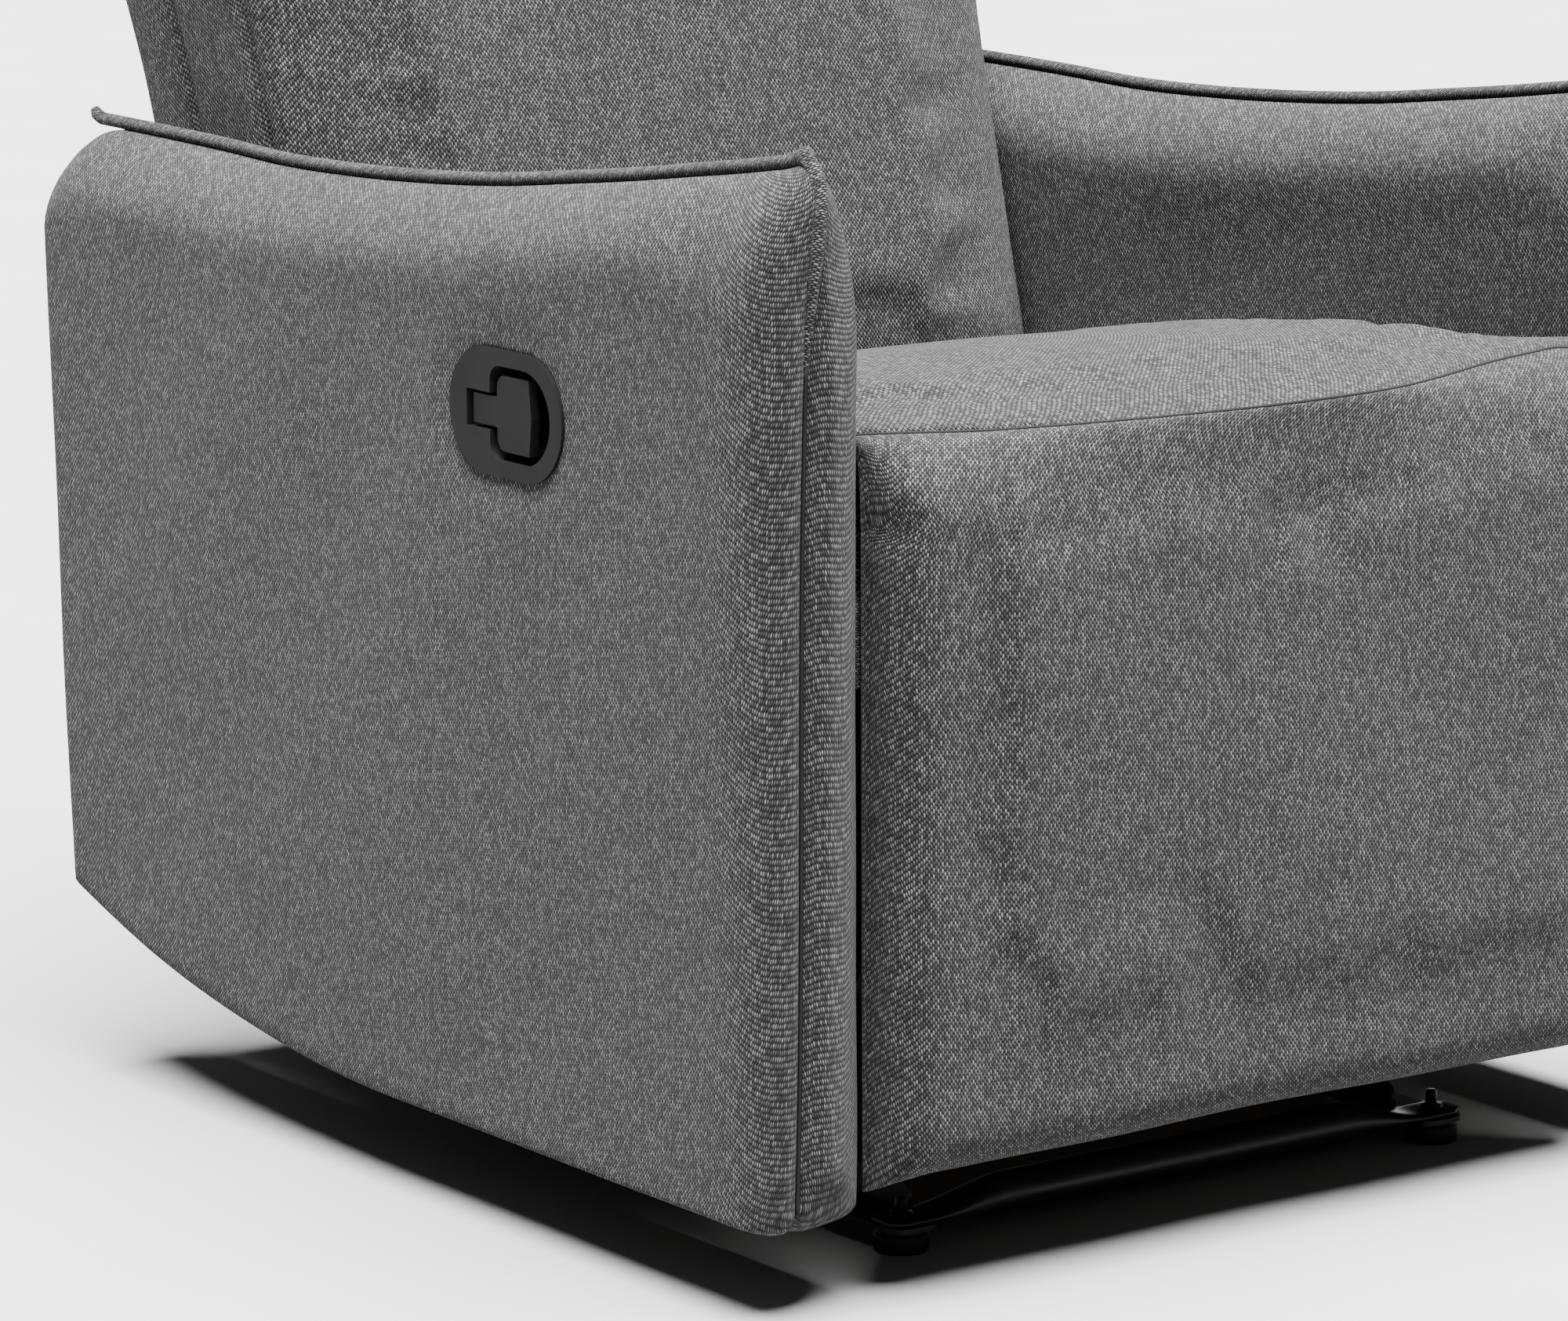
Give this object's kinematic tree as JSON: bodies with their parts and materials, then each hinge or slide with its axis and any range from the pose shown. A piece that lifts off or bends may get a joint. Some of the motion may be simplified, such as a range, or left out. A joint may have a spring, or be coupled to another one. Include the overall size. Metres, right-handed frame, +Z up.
{
  "type": "recliner armchair",
  "caption": "Fabric recliner armchair on a low steel base, with a latch lever in one arm, a fold-out leg rest and a backrest that leans back.",
  "frame": {"origin": "on the floor at the middle of the overall box", "axes": "+Z up; the sitter faces -Y, so the right arm with the latch is at -X"},
  "size_m": [0.7712, 0.9404, 1.0136],
  "materials": {
    "heather_fabric": "woven grey melange",
    "frame_wood": "raw plywood and pine",
    "charcoal_plastic": "fine texture",
    "glide_plastic": "moulded",
    "webbing": "elastic weave",
    "zinc_steel": "zinc plated",
    "black_steel": "semi-gloss black"
  },
  "bodies": {
    "base": {"floor_glides": "glide_plastic", "glide_studs": "zinc_steel", "front_cross_tube": "black_steel", "rear_cross_tube": "black_steel", "base_rail_left": "black_steel", "base_rail_right": "black_steel", "link_towers": "black_steel", "base_pivot_rivets": "zinc_steel"},
    "front_links": {"front_link_left": "black_steel", "front_link_right": "black_steel"},
    "rear_links": {"rear_link_left": "black_steel", "rear_link_right": "black_steel"},
    "lever": {"latch_lever": "charcoal_plastic"},
    "backrest": {"back_cushion": "heather_fabric", "back_shell": "heather_fabric", "back_bottom_rail": "frame_wood", "back_top_rail": "frame_wood", "back_webbing": "webbing", "back_post_left": "frame_wood", "back_post_right": "frame_wood", "back_bracket_left": "black_steel", "back_bracket_right": "black_steel"},
    "footrest": {"footrest_pad": "heather_fabric", "footrest_board": "frame_wood", "footrest_bracket_left": "black_steel", "footrest_bracket_right": "black_steel", "footrest_pivot_rivets": "zinc_steel"},
    "swing_bars": {"swing_bar_left": "black_steel", "swing_bar_right": "black_steel", "bar_pivot_rivets": "zinc_steel"},
    "connecting_bars": {"connecting_bar_left": "black_steel", "connecting_bar_right": "black_steel"},
    "seat_body": {"arm_board_left": "frame_wood", "arm_board_right": "frame_wood", "arm_bolts": "zinc_steel", "arm_inner_pad_left": "heather_fabric", "arm_inner_pad_right": "heather_fabric", "arm_outer_pad_left": "heather_fabric", "arm_outer_pad_right": "heather_fabric", "arm_piping_left": "heather_fabric", "arm_piping_right": "heather_fabric", "back_hinge_plate_left": "black_steel", "back_hinge_plate_right": "black_steel", "back_pivot_rivets": "zinc_steel", "cable_anchor": "charcoal_plastic", "latch_bezel": "charcoal_plastic", "latch_pin": "zinc_steel", "rear_skirt": "heather_fabric", "release_cable": "charcoal_plastic", "seat_cushion": "heather_fabric", "seat_front_rail": "frame_wood", "seat_pivot_rivets": "zinc_steel", "seat_plate_left": "black_steel", "seat_plate_right": "black_steel", "seat_rear_rail": "frame_wood", "seat_side_rail_left": "frame_wood", "seat_side_rail_right": "frame_wood", "seat_springs": "zinc_steel", "swing_pivot_rivets": "zinc_steel"}
  },
  "joints": [
    {"name": "front_link_swing", "type": "hinge", "parent": "base", "child": "front_links", "pos_m": [0, -0.23, 0.11], "axis": [1, 0, 0], "range_deg": [0, 30]},
    {"name": "seat_glide", "type": "hinge", "parent": "front_links", "child": "seat_body", "pos_m": [0, -0.19894, 0.22591], "axis": [1, 0, 0], "range_deg": [-30, 0]},
    {"name": "rear_link_swing", "type": "hinge", "parent": "base", "child": "rear_links", "pos_m": [0, 0.13, 0.11], "axis": [1, 0, 0], "range_deg": [0, 30]},
    {"name": "back_recline", "type": "hinge", "parent": "seat_body", "child": "backrest", "pos_m": [0, 0.205, 0.3], "axis": [-1, 0, 0], "range_deg": [0, 36]},
    {"name": "footrest_fold", "type": "hinge", "parent": "seat_body", "child": "footrest", "pos_m": [0, -0.455, 0.5], "axis": [-1, 0, 0], "range_deg": [0, 85]},
    {"name": "swing_bar_turn", "type": "hinge", "parent": "seat_body", "child": "swing_bars", "pos_m": [0, -0.33, 0.3], "axis": [-1, 0, 0], "range_deg": [0, 85]},
    {"name": "connecting_bar_turn", "type": "hinge", "parent": "swing_bars", "child": "connecting_bars", "pos_m": [0, -0.28, 0.135], "axis": [-1, 0, 0], "range_deg": [-85, 0]},
    {"name": "lever_pull", "type": "hinge", "parent": "seat_body", "child": "lever", "pos_m": [-0.381, -0.16905, 0.505], "axis": [0, 0, -1], "range_deg": [0, 22], "stiffness_Nm_per_rad": 0.3, "springref_deg": -11.46}
  ],
  "couplings": [
    {"joint": "seat_glide", "follows": "front_link_swing", "ratio": -1},
    {"joint": "rear_link_swing", "follows": "front_link_swing", "ratio": 1},
    {"joint": "back_recline", "follows": "front_link_swing", "ratio": 1.2},
    {"joint": "swing_bar_turn", "follows": "footrest_fold", "ratio": 1},
    {"joint": "connecting_bar_turn", "follows": "footrest_fold", "ratio": -1}
  ]
}
